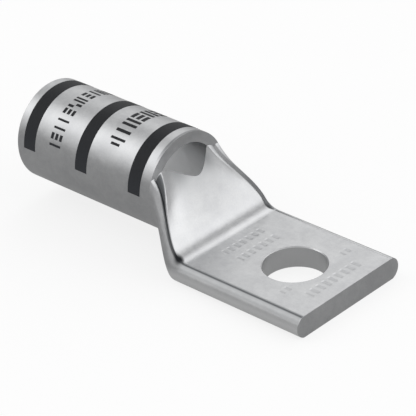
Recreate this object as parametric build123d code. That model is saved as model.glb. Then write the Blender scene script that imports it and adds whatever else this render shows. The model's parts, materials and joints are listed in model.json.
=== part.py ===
# Cable lug for a stranded copper conductor, formed from one length of copper tube.
# The round barrel takes the conductor, a pressed slope leads down from it, and the
# flattened tongue takes the bolt. Sizes are in millimetres.
# The origin is the centre of the bolt hole on the underside of the tongue.
# +X runs to the tip of the tongue, +Z is up, and the barrel opens towards -X.

from build123d import *
from math import atan, cos, radians, sin, sqrt, tan
import os

# Barrel
barrel_diameter = 14.3
barrel_wall = 1.555
barrel_length = 25.44
barrel_lift = 1.67
entry_chamfer = 0.45

# Tongue, two walls pressed together
tongue_width = 19.73
edge_bulge = 1.2
hole_to_tip = 9.1
bolt_hole_diameter = 8.64
edge_break = 0.12

# Slope between the two
rim_to_hole = 18.9
rim_end_angle = 30.0
belly_end_angle = 60.0
slope_angle = 55.4
bend_radius = 2.6
flare_length = 6.0
closing_height = 0.5

# Pressed face of the slope, crowned near the rim, with a groove down each side
bead_start_angle = 25.56
crown_height = 1.0
crown_hold = 2.0
groove_depth_at_rim = 0.42
groove_depth_on_tongue = 0.1
shoulder_at_rim = 1.15
shoulder_on_tongue = 0.25
shoulder_bulge = 0.12
corner_pit_depth = 0.25
corner_pit_width = 0.4
corner_pit_reach = 1.0

# Bead outside each groove
bead_width_at_rim = 0.85
bead_width_on_tongue = 0.3
bead_wall_lean = 0.3
bead_sink_at_rim = 0.25
bead_rise = 0.28
bead_fade_length = 2.0
bead_drop_on_tongue = 0.08
bead_bulge = 0.1

# Mouth, where the pressed wall has parted from the rim, as seen from above
mouth_width = 8.5
mouth_waist = 5.45
mouth_reach = 2.35

# Sections through the slope, for its loft, and the length below which two places are the same
same_place = 0.001
slope_section_count = 10
bend_section_count = 5
hollow_section_count = 7

# Worked out from the sizes above
barrel_radius = barrel_diameter / 2
bore_radius = barrel_radius - barrel_wall
axis_height = barrel_lift + barrel_radius
rim_x = -rim_to_hole
wire_end_x = rim_x - barrel_length
tongue_thickness = 2 * barrel_wall
half_tongue = tongue_width / 2
half_flat = half_tongue - edge_bulge
slope = radians(slope_angle)
belly_end = radians(belly_end_angle)
slope_top_z = axis_height + barrel_radius * sin(radians(rim_end_angle))
bead_start_y = barrel_radius * cos(radians(bead_start_angle))
bead_start_z = axis_height + barrel_radius * sin(radians(bead_start_angle))
bend_x = rim_x + (slope_top_z - tongue_thickness) / tan(slope)
bend_end_x = bend_x + bend_radius * tan(slope / 2)
bend_start_x = bend_end_x - bend_radius * sin(slope)
wall_drop = barrel_wall / cos(slope)
hollow_end_x = bend_x - (wall_drop + barrel_wall - tongue_thickness + closing_height) / tan(slope)


def mix(start, end, share):
    return start + (end - start) * share


def smooth(share):
    # From 0 to 1 with no kink at either end
    share = min(max(share, 0), 1)
    return share * share * (3 - 2 * share)


def flattening(x):
    # 0 where the tube is still round, 1 where it is flat
    return smooth((x - rim_x) / flare_length)


def pinch(x):
    # 1 at the rim, falling quickly at first, and 0 where the tube is flat
    return max(1 - (x - rim_x) / flare_length, 0) ** 2


def pressed_height(x):
    # Height of the pressed face at x: the slope, the bend's arc, then the tongue
    if x <= bend_start_x:
        return slope_top_z - (x - rim_x) * tan(slope)
    reach = min(x - bend_end_x, 0)
    return tongue_thickness + bend_radius - sqrt(bend_radius ** 2 - reach ** 2)


def upright(depth, x):
    # Upright measure of a depth that is square to the pressed face at x
    lean = min(max((bend_end_x - x) / bend_radius, 0), sin(slope))
    return depth / sqrt(1 - lean ** 2)


def crown(x):
    # Rise of the middle of the pressed face, which fades out before the bend
    fade = smooth((x - rim_x - crown_hold) / (bend_start_x - rim_x - crown_hold))
    return upright(crown_height * (1 - fade), x)


def corner_pit(x):
    # 1 in the corner of the bend, fading out on both sides of it
    return 1 - smooth(abs(x - bend_x) / corner_pit_reach)


def bead_height(x):
    # Height of the bead over the pressed face: sunken at the rim, proud down the slope, level on the tongue
    fade = smooth((bend_end_x - x) / bead_fade_length)
    return upright(mix(bead_rise, -bead_sink_at_rim, pinch(x)) * fade, x)


def lower_corner(x, inset):
    # Where the belly ends and the side begins, inset from the skin
    share = flattening(x)
    radius = barrel_radius - inset
    corner_y = mix(radius * cos(belly_end), half_flat - inset, share)
    return corner_y, mix(axis_height - radius * sin(belly_end), inset, share)


def mirrored(point):
    return (-point[0], point[1])


def arch(end, middle_z):
    # Across the tube from one end point to its mirror image
    if abs(middle_z - end[1]) < same_place:
        return Line(end, mirrored(end))
    return ThreePointArc(end, (0, middle_z), mirrored(end))


def belly(x, inset):
    # A round bottom that ends up straight
    bottom_z = mix(axis_height - barrel_radius + inset, inset, flattening(x))
    return arch(mirrored(lower_corner(x, inset)), bottom_z)


def upright_arc(widest, end):
    # Arc that leaves the widest point straight up or down and turns in to the end point
    inward = widest[0] - end[0]
    rise = end[1] - widest[1]
    radius = (inward ** 2 + rise ** 2) / (2 * inward)
    half_turn = atan(inward / rise)
    middle = (widest[0] - radius * (1 - cos(half_turn)), widest[1] + radius * sin(half_turn))
    return [widest, middle, end]


def bulged_arc(start, end, bulge):
    # Arc that stands out to the right of the way from start to end, by a share of that way
    along = (end[0] - start[0], end[1] - start[1])
    middle = ((start[0] + end[0]) / 2 + along[1] * bulge, (start[1] + end[1]) / 2 - along[0] * bulge)
    return [start, middle, end]


def side_edges(point_lists):
    # An arc through each three points, and a line between each two
    return [ThreePointArc(*points) if len(points) == 3 else Line(*points) for points in point_lists]


def section(x, bottom, near_side, top):
    # The closed outline at x: bottom, one side upwards, top, the other side downwards
    far_side = [[mirrored(point) for point in reversed(points)] for points in reversed(near_side)]
    edges = [bottom] + side_edges(near_side) + [top] + side_edges(far_side)
    return Plane(origin=(x, 0, 0), x_dir=(0, 1, 0), z_dir=(1, 0, 0)) * Face(Wire(edges))


def skin_section(x):
    # Outside of the tube at x: belly, bulging sides, beads, grooves and the pressed face
    share = flattening(x)
    face_z = pressed_height(x)
    groove_y = mix(bead_start_y - bead_width_at_rim, half_flat, share)
    depth = mix(groove_depth_on_tongue, groove_depth_at_rim, pinch(x)) + corner_pit_depth * corner_pit(x)
    groove = (groove_y, face_z - upright(depth, x))
    shoulder = mix(shoulder_on_tongue, shoulder_at_rim, pinch(x)) + corner_pit_width * corner_pit(x)
    face_end = (groove_y - shoulder, face_z)
    bead = mix(bead_width_at_rim, bead_width_on_tongue, share)
    bead_drop = mix(slope_top_z - bead_start_z, bead_drop_on_tongue, share)
    bead_end = (groove_y + bead, face_z - bead_drop)
    bead_top = (groove_y + bead * bead_wall_lean, face_z + bead_height(x))
    widest = (mix(barrel_radius, half_tongue, share), mix(axis_height, tongue_thickness / 2, share))
    near_side = [
        upright_arc(widest, lower_corner(x, 0))[::-1],
        upright_arc(widest, bead_end),
        bulged_arc(bead_end, bead_top, bead_bulge),
        [bead_top, groove],
        bulged_arc(groove, face_end, shoulder_bulge),
    ]
    return section(x, belly(x, 0), near_side, arch(face_end, face_z + crown(x)))


def hollow_section(x):
    # Inside of the tube at x, one wall in from the skin on every side
    share = flattening(x)
    corner = lower_corner(x, barrel_wall)
    top_z = max(pressed_height(x) - wall_drop, corner[1] + closing_height / 2)
    round_top_y = sqrt(bore_radius ** 2 - (slope_top_z - wall_drop - axis_height) ** 2)
    top_end = (mix(round_top_y, half_flat - barrel_wall, share), top_z)
    side_z = (corner[1] + top_z) / 2
    round_side_y = sqrt(bore_radius ** 2 - (side_z - axis_height) ** 2 * (1 - share))
    side = (mix(round_side_y, half_tongue - barrel_wall, share), side_z)
    return section(x, belly(x, barrel_wall), [[corner, side, top_end]], arch(top_end, top_z + crown(x)))


def stations(start_x, end_x, count):
    return [mix(start_x, end_x, number / (count - 1)) for number in range(count)]


def along_barrel(radius, start_x, length):
    start = Plane(origin=(start_x, 0, axis_height), z_dir=(1, 0, 0))
    return start * Cylinder(radius, length, align=(Align.CENTER, Align.CENTER, Align.MIN))


def formed_tube():
    # Barrel, flattening length and tongue, all still solid
    barrel = along_barrel(barrel_radius, wire_end_x, barrel_length)
    slope_x = stations(rim_x, bend_start_x, slope_section_count)
    bend_stations = stations(bend_start_x, bend_end_x, bend_section_count)[1:]
    slope_body = loft([skin_section(x) for x in slope_x + bend_stations])
    tongue = extrude(skin_section(bend_end_x), hole_to_tip - bend_end_x, dir=(1, 0, 0))
    return barrel + slope_body + tongue


def hollow():
    # Bore for the conductor and the closing space beyond it
    bore = along_barrel(bore_radius, wire_end_x, barrel_length)
    closing = loft([hollow_section(x) for x in stations(rim_x, hollow_end_x, hollow_section_count)])
    return bore + closing


def mouth():
    # Opening straight down through the pressed wall from the rim, a rounded tongue shape from above
    half_width = mouth_width / 2
    mouth_end_x = rim_x + mouth_reach
    near_waist = (rim_x + mouth_reach / 2, -mouth_waist / 2)
    far_waist = (rim_x + mouth_reach / 2, mouth_waist / 2)
    curve = Spline((rim_x, -half_width), near_waist, (mouth_end_x, 0), far_waist, (rim_x, half_width))
    outline = Face(Wire([curve, Line((rim_x, half_width), (rim_x, -half_width))]))
    lowest = pressed_height(mouth_end_x) - wall_drop
    return extrude(Pos(0, 0, lowest) * outline, axis_height + barrel_radius - lowest, dir=(0, 0, 1))


def round_edges(body, centre, radius):
    # Round edges of one radius about one centre
    circles = body.edges().filter_by(GeomType.CIRCLE)
    return [edge for edge in circles
            if (edge.arc_center - centre).length + abs(edge.radius - radius) < same_place]


def cable_lug():
    hole_radius = bolt_hole_diameter / 2
    hole = Cylinder(hole_radius, 2 * barrel_diameter)
    lug = formed_tube() - hollow() - mouth() - hole
    wire_end = Vector(wire_end_x, 0, axis_height)
    lug = chamfer(round_edges(lug, wire_end, bore_radius), entry_chamfer)
    lug = chamfer(round_edges(lug, wire_end, barrel_radius), edge_break)
    return chamfer(round_edges(lug, Vector(0, 0, tongue_thickness), hole_radius), edge_break)


os.makedirs("parts", exist_ok=True)
export_step(cable_lug(), "parts/cable_lug.step")
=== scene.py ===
# Tinned copper cable lug on a pale studio floor.
# Sizes in the dictionaries are millimetres and degrees, and the meshes are in metres.
# A pair of numbers in them is an edge and its blur, where a mask rises from 0 to 1.

import bpy
import json
import math
import numpy as np
from mathutils import Matrix, Vector


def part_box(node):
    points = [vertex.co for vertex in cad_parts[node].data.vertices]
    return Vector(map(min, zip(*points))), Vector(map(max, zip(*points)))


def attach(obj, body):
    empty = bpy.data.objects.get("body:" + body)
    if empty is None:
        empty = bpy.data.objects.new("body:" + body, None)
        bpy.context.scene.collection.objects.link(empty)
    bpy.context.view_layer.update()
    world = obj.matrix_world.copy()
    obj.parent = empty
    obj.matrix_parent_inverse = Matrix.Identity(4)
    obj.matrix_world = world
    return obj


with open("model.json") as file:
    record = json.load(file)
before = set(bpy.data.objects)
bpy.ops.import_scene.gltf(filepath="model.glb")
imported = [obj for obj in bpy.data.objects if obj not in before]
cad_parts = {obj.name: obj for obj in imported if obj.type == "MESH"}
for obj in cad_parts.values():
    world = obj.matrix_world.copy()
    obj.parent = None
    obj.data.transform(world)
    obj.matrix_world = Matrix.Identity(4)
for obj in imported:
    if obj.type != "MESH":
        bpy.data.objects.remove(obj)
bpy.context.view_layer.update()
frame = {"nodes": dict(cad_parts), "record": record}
mm = 0.001
white = (1, 1, 1, 1)
noiseMiddle = 0.5             # noise runs from 0 to 1

# What the CAD model says about the lug, in millimetres
mounts = {mount["name"]: mount for mount in frame["record"]["mounts"]}
lowCorner, highCorner = [Vector(corner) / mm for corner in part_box("cable_lug")]
wireEndX = lowCorner.x
tipX = highCorner.x
axisHeight = mounts["wire_barrel"]["pos_m"][2] / mm
barrelRadius = highCorner.z - axisHeight
boreRadius = mounts["wire_barrel"]["dims"]["r_mm"]
rimX = mounts["wire_barrel"]["pos_m"][0] / mm + mounts["wire_barrel"]["dims"]["length_mm"]
holeRadius = mounts["bolt_hole"]["dims"]["r_mm"]
print("frame: barrel radius", round(barrelRadius, 2), "rim at", round(rimX, 2))


class Signal:
    # One output of a node, with its sums written as plain Python
    def __init__(self, bench, socket):
        self.bench = bench
        self.socket = socket

    def sibling(self, name):
        return Signal(self.bench, self.socket.node.outputs[name])

    def __add__(self, other):
        return self.bench.maths("ADD", self, other)

    __radd__ = __add__

    def __sub__(self, other):
        return self.bench.maths("SUBTRACT", self, other)

    def __rsub__(self, other):
        return self.bench.maths("SUBTRACT", other, self)

    def __mul__(self, other):
        return self.bench.maths("MULTIPLY", self, other)

    __rmul__ = __mul__

    def __pow__(self, other):
        return self.bench.maths("POWER", self, other)

    def __abs__(self):
        return self.bench.maths("ABSOLUTE", self)

    def rise(self, edge, blur, origin=0):
        # 0 below the edge and 1 above it, with the blur on both sides of it
        return self.bench.node("ShaderNodeMapRange", {"interpolation_type": "SMOOTHSTEP"}, {
            "Value": self, "From Min": origin + edge - blur, "From Max": origin + edge + blur})

    def between(self, low, high, blur):
        # 1 from low to high, with both ends blurred
        return self.rise(low, blur) * (1 - self.rise(high, blur))


class Bench:
    # A node tree, and the one way that nodes are put into it
    def __init__(self, tree):
        self.tree = tree
        tree.nodes.clear()

    def node(self, kind, settings=None, sockets=None, output=0):
        made = self.tree.nodes.new(kind)
        for setting, value in (settings or {}).items():
            setattr(made, setting, value)
        for socket, value in (sockets or {}).items():
            if isinstance(value, Signal):
                self.tree.links.new(value.socket, made.inputs[socket])
            else:
                made.inputs[socket].default_value = value
        return Signal(self, made.outputs[output]) if made.outputs else made

    def maths(self, operation, *values):
        return self.node("ShaderNodeMath", {"operation": operation}, dict(enumerate(values)))

    def blend(self, share, first, second):
        # The Mix node's colours go in at 6 and 7 and come out at 2
        return self.node(
            "ShaderNodeMix", {"data_type": "RGBA"}, {0: share, 6: first, 7: second}, output=2)

    def noise(self, place, scale, detail, stretch=(1, 1, 1)):
        # Cloudy noise from 0 to 1, at so many waves for each millimetre
        stretched = self.node("ShaderNodeVectorMath", {"operation": "MULTIPLY"}, {0: place, 1: stretch})
        return self.node("ShaderNodeTexNoise", {}, {"Vector": stretched, "Scale": scale, "Detail": detail})


def newMaterial(name):
    material = bpy.data.materials.new(name)
    material.use_nodes = True
    return material, Bench(material.node_tree)


def placeInMillimetres(bench):
    place = bench.node("ShaderNodeTexCoord", output="Object")
    return bench.node("ShaderNodeVectorMath", {"operation": "SCALE"}, {0: place, "Scale": 1 / mm})


def axisParts(bench, place):
    x = bench.node("ShaderNodeSeparateXYZ", {}, {0: place})
    return x, x.sibling("Y"), x.sibling("Z")


def showSurface(bench, height, sockets):
    # A Principled surface, with a bump from a height in millimetres
    bump = bench.node("ShaderNodeBump", {}, {"Strength": 1.0, "Distance": mm, "Height": height})
    shader = bench.node("ShaderNodeBsdfPrincipled", {}, {"Normal": bump, **sockets})
    bench.node("ShaderNodeOutputMaterial", {}, {"Surface": shader})


# Painted light in the bore and the bolt hole: paler tin that lights up these hollows
paintedHollowLight = {
    # painted light inside the barrel
    "bore": (0.86, 0.865, 0.87, 1),
    "boreEdge": (0.2, 0.1),   # from the bore's radius outwards
    "boreEnd": (-0.1, 0.1),   # from the rim
    # painted light on the bolt hole's wall
    "hole": (0.66, 0.665, 0.67, 1),
    "holeEdge": (0.04, 0.03),   # from the hole's radius outwards
}


def inBore(x, y, z):
    # Within a distance of the barrel's axis, and behind the rim
    fromAxis = (y * y + (z - axisHeight) ** 2) ** 0.5
    withinRadius = 1 - fromAxis.rise(*paintedHollowLight["boreEdge"], origin=boreRadius)
    return withinRadius * (1 - x.rise(*paintedHollowLight["boreEnd"], origin=rimX))


def inHole(x, y):
    # Within a distance of the bolt hole's axis, which runs through the origin
    fromAxis = (x * x + y * y) ** 0.5
    return 1 - fromAxis.rise(*paintedHollowLight["holeEdge"], origin=holeRadius)


# Sides of the tongue, with painted light low down and painted shade at the shoulder beside the fold
tongueSideLightAndShade = {
    # painted light, paler tin low on the sides
    "pale": (0.84, 0.845, 0.85, 1),
    "paleWidth": (9.45, 0.15),
    "paleHeight": (2.1, 0.7),
    # painted shade, darker tin at the shoulder that dims its highlight
    "shoulder": (0.33, 0.335, 0.34, 1),
    "shoulderWidth": (9.05, 0.1),
    "shoulderHeight": (2.5, 0.2),
    "shoulderStart": (-12.5, 1.0),
    "tip": (-0.04, 0.02),     # from the tip, whose own face is left out
}


def beforeTip(x):
    return 1 - x.rise(*tongueSideLightAndShade["tip"], origin=tipX)


def onPaleSide(x, y, z):
    # Beyond a half width, below a height and short of the tip
    return abs(y).rise(*tongueSideLightAndShade["paleWidth"]) * (1 - z.rise(*tongueSideLightAndShade["paleHeight"])) * beforeTip(x)


def onShoulder(x, y, z):
    # Beyond a half width, above a height, and from the bend to the tip
    corner = abs(y).rise(*tongueSideLightAndShade["shoulderWidth"]) * z.rise(*tongueSideLightAndShade["shoulderHeight"])
    return corner * x.rise(*tongueSideLightAndShade["shoulderStart"]) * beforeTip(x)


# Pressed face, from the rim down the slope and along the tongue, with a fold down each side
pressedFace = {
    "slopeTop": 12.4,
    "slopeAngle": 55.4,
    "tongueTop": 3.11,
    "skin": (-1.2, 0.3),      # above the face, so it takes in a little of what lies under it
    "start": (0.05, 0.05),    # from the rim
    "flareLength": 6.0,
    "foldAtRim": 5.6,         # half the spread of the two folds
    "foldOnTongue": 8.67,
    "middle": (0, 1.0),
}


def onPressedFace(bench, x, z):
    # At or above the slope's line or the tongue's top, whichever is higher, and beyond the rim
    slopeHeight = pressedFace["slopeTop"] - (x - rimX) * math.tan(math.radians(pressedFace["slopeAngle"]))
    above = z - bench.maths("MAXIMUM", slopeHeight, pressedFace["tongueTop"])
    return above.rise(*pressedFace["skin"]) * x.rise(*pressedFace["start"], origin=rimX)


def outsideFold(x, y):
    # Distance outwards from a fold, whose half spread grows from rim to tongue by a smooth step
    half = pressedFace["flareLength"] / 2
    growth = pressedFace["foldOnTongue"] - pressedFace["foldAtRim"]
    return abs(y) - (pressedFace["foldAtRim"] + x.rise(half, half, origin=rimX) * growth)


def onNearSide(y):
    # 1 at negative y, the side that the camera sees
    return 1 - y.rise(*pressedFace["middle"])


# Painted shade at the top of the slope and on the rolled edge of the rim above it
paintedSlopeShade = {
    "colour": (0.2, 0.205, 0.21, 1),
    "reach": (2.45, 1.6),     # from the rim
    "width": (3.7, 1.5),
    "rollStart": -0.42,       # from the rim
    "rollEnd": -0.02,
    "rollBlur": 0.06,
    "rollHeight": (5.6, 0.8),   # above the barrel's axis
    "rollShare": 0.75,
}


def onUpperSlope(x, y, onFace):
    # Within a distance of the rim and a half width of the middle, on the pressed face
    return (1 - x.rise(*paintedSlopeShade["reach"], origin=rimX)) * (1 - abs(y).rise(*paintedSlopeShade["width"])) * onFace


def onRolledRim(x, z):
    # A narrow band behind the rim, above a height
    band = x.between(rimX + paintedSlopeShade["rollStart"], rimX + paintedSlopeShade["rollEnd"], paintedSlopeShade["rollBlur"])
    return band * z.rise(*paintedSlopeShade["rollHeight"], origin=axisHeight) * paintedSlopeShade["rollShare"]


# Painted shade in the near fold and in the corner of its bend, with little of it in the far fold
paintedFoldShade = {
    "colour": (0.12, 0.125, 0.13, 1),
    "innerEdge": (-0.1, 0.14),
    "outerEdge": (0.34, 0.14),
    "farShare": 0.15,
    "wedge": 0.85,            # how much wider it is at the near fold's rim
    "wedgeLength": 3.2,
    # darkest painted shade, in the corner pit
    "pitColour": (0.03, 0.032, 0.035, 1),
    "pitX": -12.5,
    "pitRadius": (0.55, 0.3),
}


def alongFold(x, outside, onFace, near):
    # A line beside each fold, whose inner edge moves in by a wedge that shrinks away from the rim
    half = paintedFoldShade["wedgeLength"] / 2
    wedge = (1 - x.rise(half, half, origin=rimX)) * near * paintedFoldShade["wedge"]
    line = (outside + wedge).rise(*paintedFoldShade["innerEdge"]) * (1 - outside.rise(*paintedFoldShade["outerEdge"]))
    share = near * (1 - paintedFoldShade["farShare"]) + paintedFoldShade["farShare"]
    return line * onFace * beforeTip(x) * share


def inPit(x, outside, onFace, near):
    # Within a distance of the corner where the near fold bends
    fromCorner = ((x - paintedFoldShade["pitX"]) ** 2 + outside ** 2) ** 0.5
    return (1 - fromCorner.rise(*paintedFoldShade["pitRadius"])) * onFace * near


# Rows of plain dashes pressed into the tongue: x, first y, last y, dash length along x
stampedRows = {
    "rows": [(-9.2, -3.4, 3.8, 1.1), (-6.6, -3.4, 4.2, 1.2), (6.3, -4.4, 5.6, 1.4),
             (3.2, -6.1, -4.7, 1.0), (3.2, 5.6, 7.0, 1.0)],
    "pitch": 1.15,
    "dashWidth": 0.5,
    "blur": 0.14,
    "height": (2.6, 0.1),
    "depth": 0.028,
    # painted shade that darkens the pressed dashes
    "tone": (0.36, 0.365, 0.375, 1),
    "toneShare": 0.42,
}


def rowOfDashes(bench, x, y, rowX, firstY, lastY, length):
    # A to-and-fro wave along y makes the dashes, which are cut off at the row's ends and edges
    blur = stampedRows["blur"]
    wave = bench.maths("PINGPONG", y - firstY, stampedRows["pitch"] / 2)
    dash = 1 - wave.rise(stampedRows["dashWidth"] / 2, blur)
    return dash * (x.between(rowX - length / 2, rowX + length / 2, blur) * y.between(firstY, lastY, blur))


def onStampedDashes(bench, x, y, z):
    # Sum of the rows, on the upper face only
    marks = sum(rowOfDashes(bench, x, y, *row) for row in stampedRows["rows"])
    return marks * z.rise(*stampedRows["height"])


# Tin plate, the finish of the whole lug
tin = {
    "pale": (0.56, 0.565, 0.57, 1),
    "deep": (0.455, 0.46, 0.47, 1),
    "toneStep": (0.5, 0.22),
    "cloudShare": 0.45,       # shares of the three noises in the tone
    "fineCloudShare": 0.25,
    "grainShare": 0.3,
    "cloudScale": 0.32,       # waves for each millimetre
    "fineCloudScale": 1.28,
    "grainScale": 5.0,
    "drawScale": 3.0,         # lines left by drawing the tube
    "drawStretch": (0.08, 1, 1),
    "cloudHeight": 0.05,
    "grainHeight": 0.0035,
    "drawHeight": 0.002,
    "roughness": 0.36,
    "cloudRoughness": 0.12,
    "grainRoughness": 0.08,
}


def makeTin():
    material, bench = newMaterial("tinPlate")
    place = placeInMillimetres(bench)
    x, y, z = axisParts(bench, place)
    clouds = bench.noise(place, tin["cloudScale"], detail=3)
    fineClouds = bench.noise(place, tin["fineCloudScale"], detail=3)
    grain = bench.noise(place, tin["grainScale"], detail=2)
    drawn = bench.noise(place, tin["drawScale"], detail=2, stretch=tin["drawStretch"])

    # Colour: a weighted sum of three noises picks between deep and pale tin, and each layer
    # then covers its share of what is under it
    tone = clouds * tin["cloudShare"] + fineClouds * tin["fineCloudShare"] + grain * tin["grainShare"]
    colour = bench.blend(tone.rise(*tin["toneStep"]), tin["deep"], tin["pale"])
    onFace = onPressedFace(bench, x, z)
    outside = outsideFold(x, y)
    near = onNearSide(y)
    stamped = onStampedDashes(bench, x, y, z)
    # Painted light in the bore, the hole and low on the tongue's sides; painted shade at the shoulder, the
    # top of the slope, the folds, the rim's rolled edge, the pit and the stamped dashes
    layers = [
        (inBore(x, y, z), paintedHollowLight["bore"]),
        (inHole(x, y), paintedHollowLight["hole"]),
        (onPaleSide(x, y, z), tongueSideLightAndShade["pale"]),
        (onShoulder(x, y, z), tongueSideLightAndShade["shoulder"]),
        (onUpperSlope(x, y, onFace), paintedSlopeShade["colour"]),
        (alongFold(x, outside, onFace, near), paintedFoldShade["colour"]),
        (onRolledRim(x, z), paintedSlopeShade["colour"]),
        (inPit(x, outside, onFace, near), paintedFoldShade["pitColour"]),
        (stamped * stampedRows["toneShare"], stampedRows["tone"]),
    ]
    for share, covering in layers:
        colour = bench.blend(share, colour, covering)

    # Roughness swings with two of the noises, and the bump is clouds, grain and drawn lines
    # less the stamped dashes
    roughness = tin["roughness"] + (fineClouds - noiseMiddle) * tin["cloudRoughness"]
    roughness = roughness + (grain - noiseMiddle) * tin["grainRoughness"]
    height = clouds * tin["cloudHeight"] + grain * tin["grainHeight"] + drawn * tin["drawHeight"]
    height = height - stamped * stampedRows["depth"]
    showSurface(bench, height, {"Base Color": colour, "Roughness": roughness, "Metallic": 1.0})
    return material


# Black ink, a little bluish, printed on the tin
ink = {
    "deep": (0.004, 0.0045, 0.006, 1),
    "worn": (0.011, 0.0125, 0.0155, 1),
    "toneStep": (0.5, 0.2),
    "grainShare": 0.6,        # shares of the two noises in the tone
    "screenShare": 0.4,
    "grainScale": 2.4,
    "grainHeight": 0.004,
    "screenScale": 7.2,
    "screenStretch": (1, 0.3, 0.3),
    "faded": (0.044, 0.047, 0.054, 1),   # towards the lower ends of the bands
    "fade": (3.0, 3.5),       # above the barrel's axis
    "roughness": 0.55,
    "grainRoughness": 0.2,
    "shine": 0.25,
}


def makeInk():
    # A weighted sum of two noises picks between deep and worn ink, which is paler below a height
    material, bench = newMaterial("blackInk")
    place = placeInMillimetres(bench)
    z = axisParts(bench, place)[2]
    grain = bench.noise(place, ink["grainScale"], detail=3)
    screen = bench.noise(place, ink["screenScale"], detail=1, stretch=ink["screenStretch"])
    tone = grain * ink["grainShare"] + screen * ink["screenShare"]
    colour = bench.blend(tone.rise(*ink["toneStep"]), ink["deep"], ink["worn"])
    colour = bench.blend(1 - z.rise(*ink["fade"], origin=axisHeight), colour, ink["faded"])
    roughness = ink["roughness"] + (grain - noiseMiddle) * ink["grainRoughness"]
    showSurface(bench, grain * ink["grainHeight"], {
        "Base Color": colour, "Roughness": roughness, "Specular IOR Level": ink["shine"]})
    return material


tinPlate = makeTin()
blackInk = makeInk()
lug = frame["nodes"]["cable_lug"]
lug.data.materials.clear()
lug.data.materials.append(tinPlate)
print("finishes: tin plate and black ink")

# Ink on the barrel: three bands and two rows of plain marks. Angles round the barrel are measured
# from the near horizontal upwards, and go on over the top.
inkLayer = {"thickness": 0.02, "sunk": 0.04, "degreesPerStep": 1.5}
bands = {"firstFromEnd": 1.37, "pitch": 10.07, "width": 2.2, "endAngle": 3.7, "count": 3}
# Each mark is a few bars: from and to along its turn, then from and to along the barrel, as shares
markShapes = {
    "post": [(0.32, 0.68, 0, 1)],
    "twin": [(0, 0.34, 0, 1), (0.66, 1, 0, 1)],
    "stack": [(0, 1, 0, 0.24), (0, 1, 0.38, 0.62), (0, 1, 0.76, 1)],
    "step": [(0, 0.46, 0, 0.46), (0.54, 1, 0.54, 1)],
    "uneven": [(0.05, 0.33, 0.2, 0.8), (0.66, 0.94, 0, 1)],
}
smallMarks = {
    "fromEnd": 7.3, "height": 2.1,
    "firstAngle": 17.2, "markAngle": 7, "pitchAngle": 9.7, "spaceAngle": 2,
    "groups": [("post", "stack", "post", "post"), ("stack", "step", "twin"),
               ("stack", "post", "twin"), ("twin", "stack", "post", "step")],
}
boldMarks = {
    "fromEnd": 17.4, "height": 2.6,
    "firstAngle": 45.7, "markAngle": 10.5, "pitchAngle": 13.6, "spaceAngle": 0,
    "groups": [("uneven", "post", "twin", "stack", "twin", "stack")],
}


def inkPatch(startX, endX, startAngle, endAngle):
    # A thin rectangle bent round the barrel. At (a, s), with a an angle round the barrel and s a
    # place on the rectangle's own outline, y is -r cos a and z is r sin a above the axis, where r
    # is the outer or the inner radius of the layer at s.
    outer = barrelRadius + inkLayer["thickness"]
    inner = barrelRadius - inkLayer["sunk"]
    soften = inkLayer["thickness"]
    outlineX = np.array([startX, startX, startX + soften, endX - soften, endX, endX])
    outlineR = np.array([inner, outer - soften / 2, outer, outer, outer - soften / 2, inner])
    steps = max(2, math.ceil(abs(endAngle - startAngle) / inkLayer["degreesPerStep"]) + 1)
    angle = np.radians(np.linspace(startAngle, endAngle, steps))[:, None]
    return np.stack([
        outlineX + 0 * angle,
        -outlineR * np.cos(angle),
        axisHeight + outlineR * np.sin(angle)], axis=-1)


def patchFaces(grid, offset):
    # Quads between neighbouring outlines, and one face over each end
    rows, columns = grid.shape[:2]
    row, column = np.meshgrid(np.arange(rows - 1), np.arange(columns), indexing="ij")
    right = (column + 1) % columns
    quads = np.stack([
        row * columns + column, row * columns + right,
        (row + 1) * columns + right, (row + 1) * columns + column], axis=-1).reshape(-1, 4)
    caps = [list(range(columns - 1, -1, -1)), list(range((rows - 1) * columns, rows * columns))]
    return (quads + offset).tolist() + [[corner + offset for corner in cap] for cap in caps]


def makeInkPiece(name, grids):
    # The patches one after the other in one mesh
    points = np.concatenate([grid.reshape(-1, 3) for grid in grids])
    faces = []
    offset = 0
    for grid in grids:
        faces += patchFaces(grid, offset)
        offset += grid.shape[0] * grid.shape[1]
    mesh = bpy.data.meshes.new(name)
    mesh.from_pydata((points * mm).tolist(), [], faces)
    mesh.materials.append(blackInk)
    mesh.update()
    piece = bpy.data.objects.new(name, mesh)
    bpy.context.scene.collection.objects.link(piece)
    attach(piece, "root")


def bandGrids():
    # Bands at one pitch along the barrel, over its top from just above the horizontal on each side
    first = wireEndX + bands["firstFromEnd"]
    starts = [first + number * bands["pitch"] for number in range(bands["count"])]
    ends = (bands["endAngle"], 180 - bands["endAngle"])
    return [inkPatch(start, start + bands["width"], *ends) for start in starts]


def rowGrids(row):
    # Groups of marks up the barrel's side and over its top
    lowX = wireEndX + row["fromEnd"] - row["height"] / 2
    grids = []
    angle = row["firstAngle"]
    for group in row["groups"]:
        for shape in group:
            for fromTurn, toTurn, fromHeight, toHeight in markShapes[shape]:
                grids.append(inkPatch(
                    lowX + fromHeight * row["height"], lowX + toHeight * row["height"],
                    angle + fromTurn * row["markAngle"], angle + toTurn * row["markAngle"]))
            angle += row["pitchAngle"]
        angle += row["spaceAngle"]
    return grids


makeInkPiece("ink_bands", bandGrids())
makeInkPiece("ink_small_marks", rowGrids(smallMarks))
makeInkPiece("ink_bold_marks", rowGrids(boldMarks))
print("ink: three bands and two rows of marks")

# Studio: a pale floor, softboxes in an even surround, and the camera
floorLook = {
    "size": 3000,
    "drop": 0.03,             # below the lug
    "seenColour": (0.95, 0.95, 0.95, 1),
    "lightingColour": (0.19, 0.19, 0.19, 1),
    "seenGlow": 0.8,          # share of plain white, and the rest takes the lug's shadow
    "reflectedGlow": 0.31,
}
surroundStrength = 0.68
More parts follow.
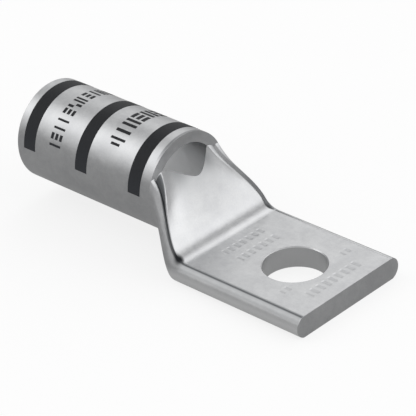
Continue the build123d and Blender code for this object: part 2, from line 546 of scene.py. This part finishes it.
# Azimuth from +X, elevation, half angle and strength, which is below 0 for a black card
softboxes = {
    "right": (15, 27, 24, 1.13),
    "key": (41, 19, 24, 1.15),
    "back": (100, 27, 24, 0.5),
    "backLow": (66, 8, 24, 0.5),
    "backHigh": (115, 50, 24, 1.25),
    "backLeft": (138, 27, 24, 0.2),
    "frontLeft": (225, 27, 24, 0.6),
    "frontLeftHigh": (213, 48, 24, 1.25),
    "blackCard": (232, 0, 30, -0.35),
}
camera = {
    "target": (-11.362, -3.783, 9.304),
    "azimuth": 45.663,        # from -Y towards +X
    "elevation": 30.508,
    "roll": -4.487,
    "distance": 321.93,
    "nearest": 10,
    "focalPixels": 2474.13,
    "framePixels": 416,
    "sensor": 36.0,
}


def makeFloor():
    # A flat square. It is white with a share of plain glow where it is seen, and grey in the light
    # that it gives back to the lug.
    half = floorLook["size"] / 2 * mm
    low = -floorLook["drop"] * mm
    mesh = bpy.data.meshes.new("floor")
    corners = [(-half, -half, low), (half, -half, low), (half, half, low), (-half, half, low)]
    mesh.from_pydata(corners, [], [(0, 1, 2, 3)])
    floor = bpy.data.objects.new("floor", mesh)
    bpy.context.scene.collection.objects.link(floor)
    material, bench = newMaterial("paleFloor")
    seen = bench.node("ShaderNodeLightPath", output="Is Camera Ray")
    seenOrClear = bench.maths("MAXIMUM", seen, seen.sibling("Is Transmission Ray"))
    reflected = seen.sibling("Is Glossy Ray")
    colour = bench.blend(seenOrClear, floorLook["lightingColour"], floorLook["seenColour"])
    matt = bench.node("ShaderNodeBsdfDiffuse", {}, {"Color": colour})
    glow = bench.node("ShaderNodeEmission", {}, {"Color": white, "Strength": 1.0})
    share = bench.maths(
        "MAXIMUM", seenOrClear * floorLook["seenGlow"], reflected * floorLook["reflectedGlow"])
    mixed = bench.node("ShaderNodeMixShader", {}, {0: share, 1: matt, 2: glow})
    bench.node("ShaderNodeOutputMaterial", {}, {"Surface": mixed})
    mesh.materials.append(material)


def towards(azimuth, elevation):
    turn, lift = math.radians(azimuth), math.radians(elevation)
    return (math.cos(turn) * math.cos(lift), math.sin(turn) * math.cos(lift), math.sin(lift))


def makeWorld():
    # Brightness in a direction: an even surround, and for each softbox its strength times a smooth
    # step of the cosine between the two directions, from the half angle's to 1. The camera sees white.
    world = bpy.data.worlds.new("studioWorld")
    world.use_nodes = True
    bpy.context.scene.world = world
    bench = Bench(world.node_tree)
    direction = bench.node("ShaderNodeTexCoord", output="Generated")
    bright = surroundStrength
    for azimuth, elevation, halfAngle, strength in softboxes.values():
        facing = bench.node(
            "ShaderNodeVectorMath", {"operation": "DOT_PRODUCT"},
            {0: direction, 1: towards(azimuth, elevation)}, output="Value")
        bright = bright + bench.node("ShaderNodeMapRange", {"interpolation_type": "SMOOTHSTEP"}, {
            "Value": facing, "From Min": math.cos(math.radians(halfAngle)), "To Max": strength})
    light = bench.node("ShaderNodeBackground", {}, {"Color": white, "Strength": bright})
    backdrop = bench.node("ShaderNodeBackground", {}, {"Color": white, "Strength": 1.0})
    seen = bench.node("ShaderNodeLightPath", output="Is Camera Ray")
    mixed = bench.node("ShaderNodeMixShader", {}, {0: seen, 1: light, 2: backdrop})
    bench.node("ShaderNodeOutputWorld", {}, {"Surface": mixed})


def makeCamera():
    # Looks back at the target from its azimuth, elevation and distance, rolled about its line of sight
    azimuth, elevation, roll = [math.radians(camera[key]) for key in ("azimuth", "elevation", "roll")]
    back = Vector((
        math.sin(azimuth) * math.cos(elevation),
        -math.cos(azimuth) * math.cos(elevation),
        math.sin(elevation)))
    right = (-back).cross(Vector((0, 0, 1))).normalized()
    up = back.cross(right)
    rolledRight = math.cos(roll) * right + math.sin(roll) * up
    rolledUp = -math.sin(roll) * right + math.cos(roll) * up
    data = bpy.data.cameras.new("camera")
    data.sensor_width = camera["sensor"]
    data.lens = camera["focalPixels"] / camera["framePixels"] * camera["sensor"]
    data.clip_start = camera["nearest"] * mm
    holder = bpy.data.objects.new("camera", data)
    turned = Matrix((rolledRight, rolledUp, back)).transposed().to_4x4()
    place = (Vector(camera["target"]) + back * camera["distance"]) * mm
    holder.matrix_world = Matrix.Translation(place) @ turned
    bpy.context.scene.collection.objects.link(holder)
    bpy.context.scene.camera = holder


makeFloor()
makeWorld()
makeCamera()
bpy.context.scene.view_settings.view_transform = "Standard"
print("studio: floor, softboxes and camera")
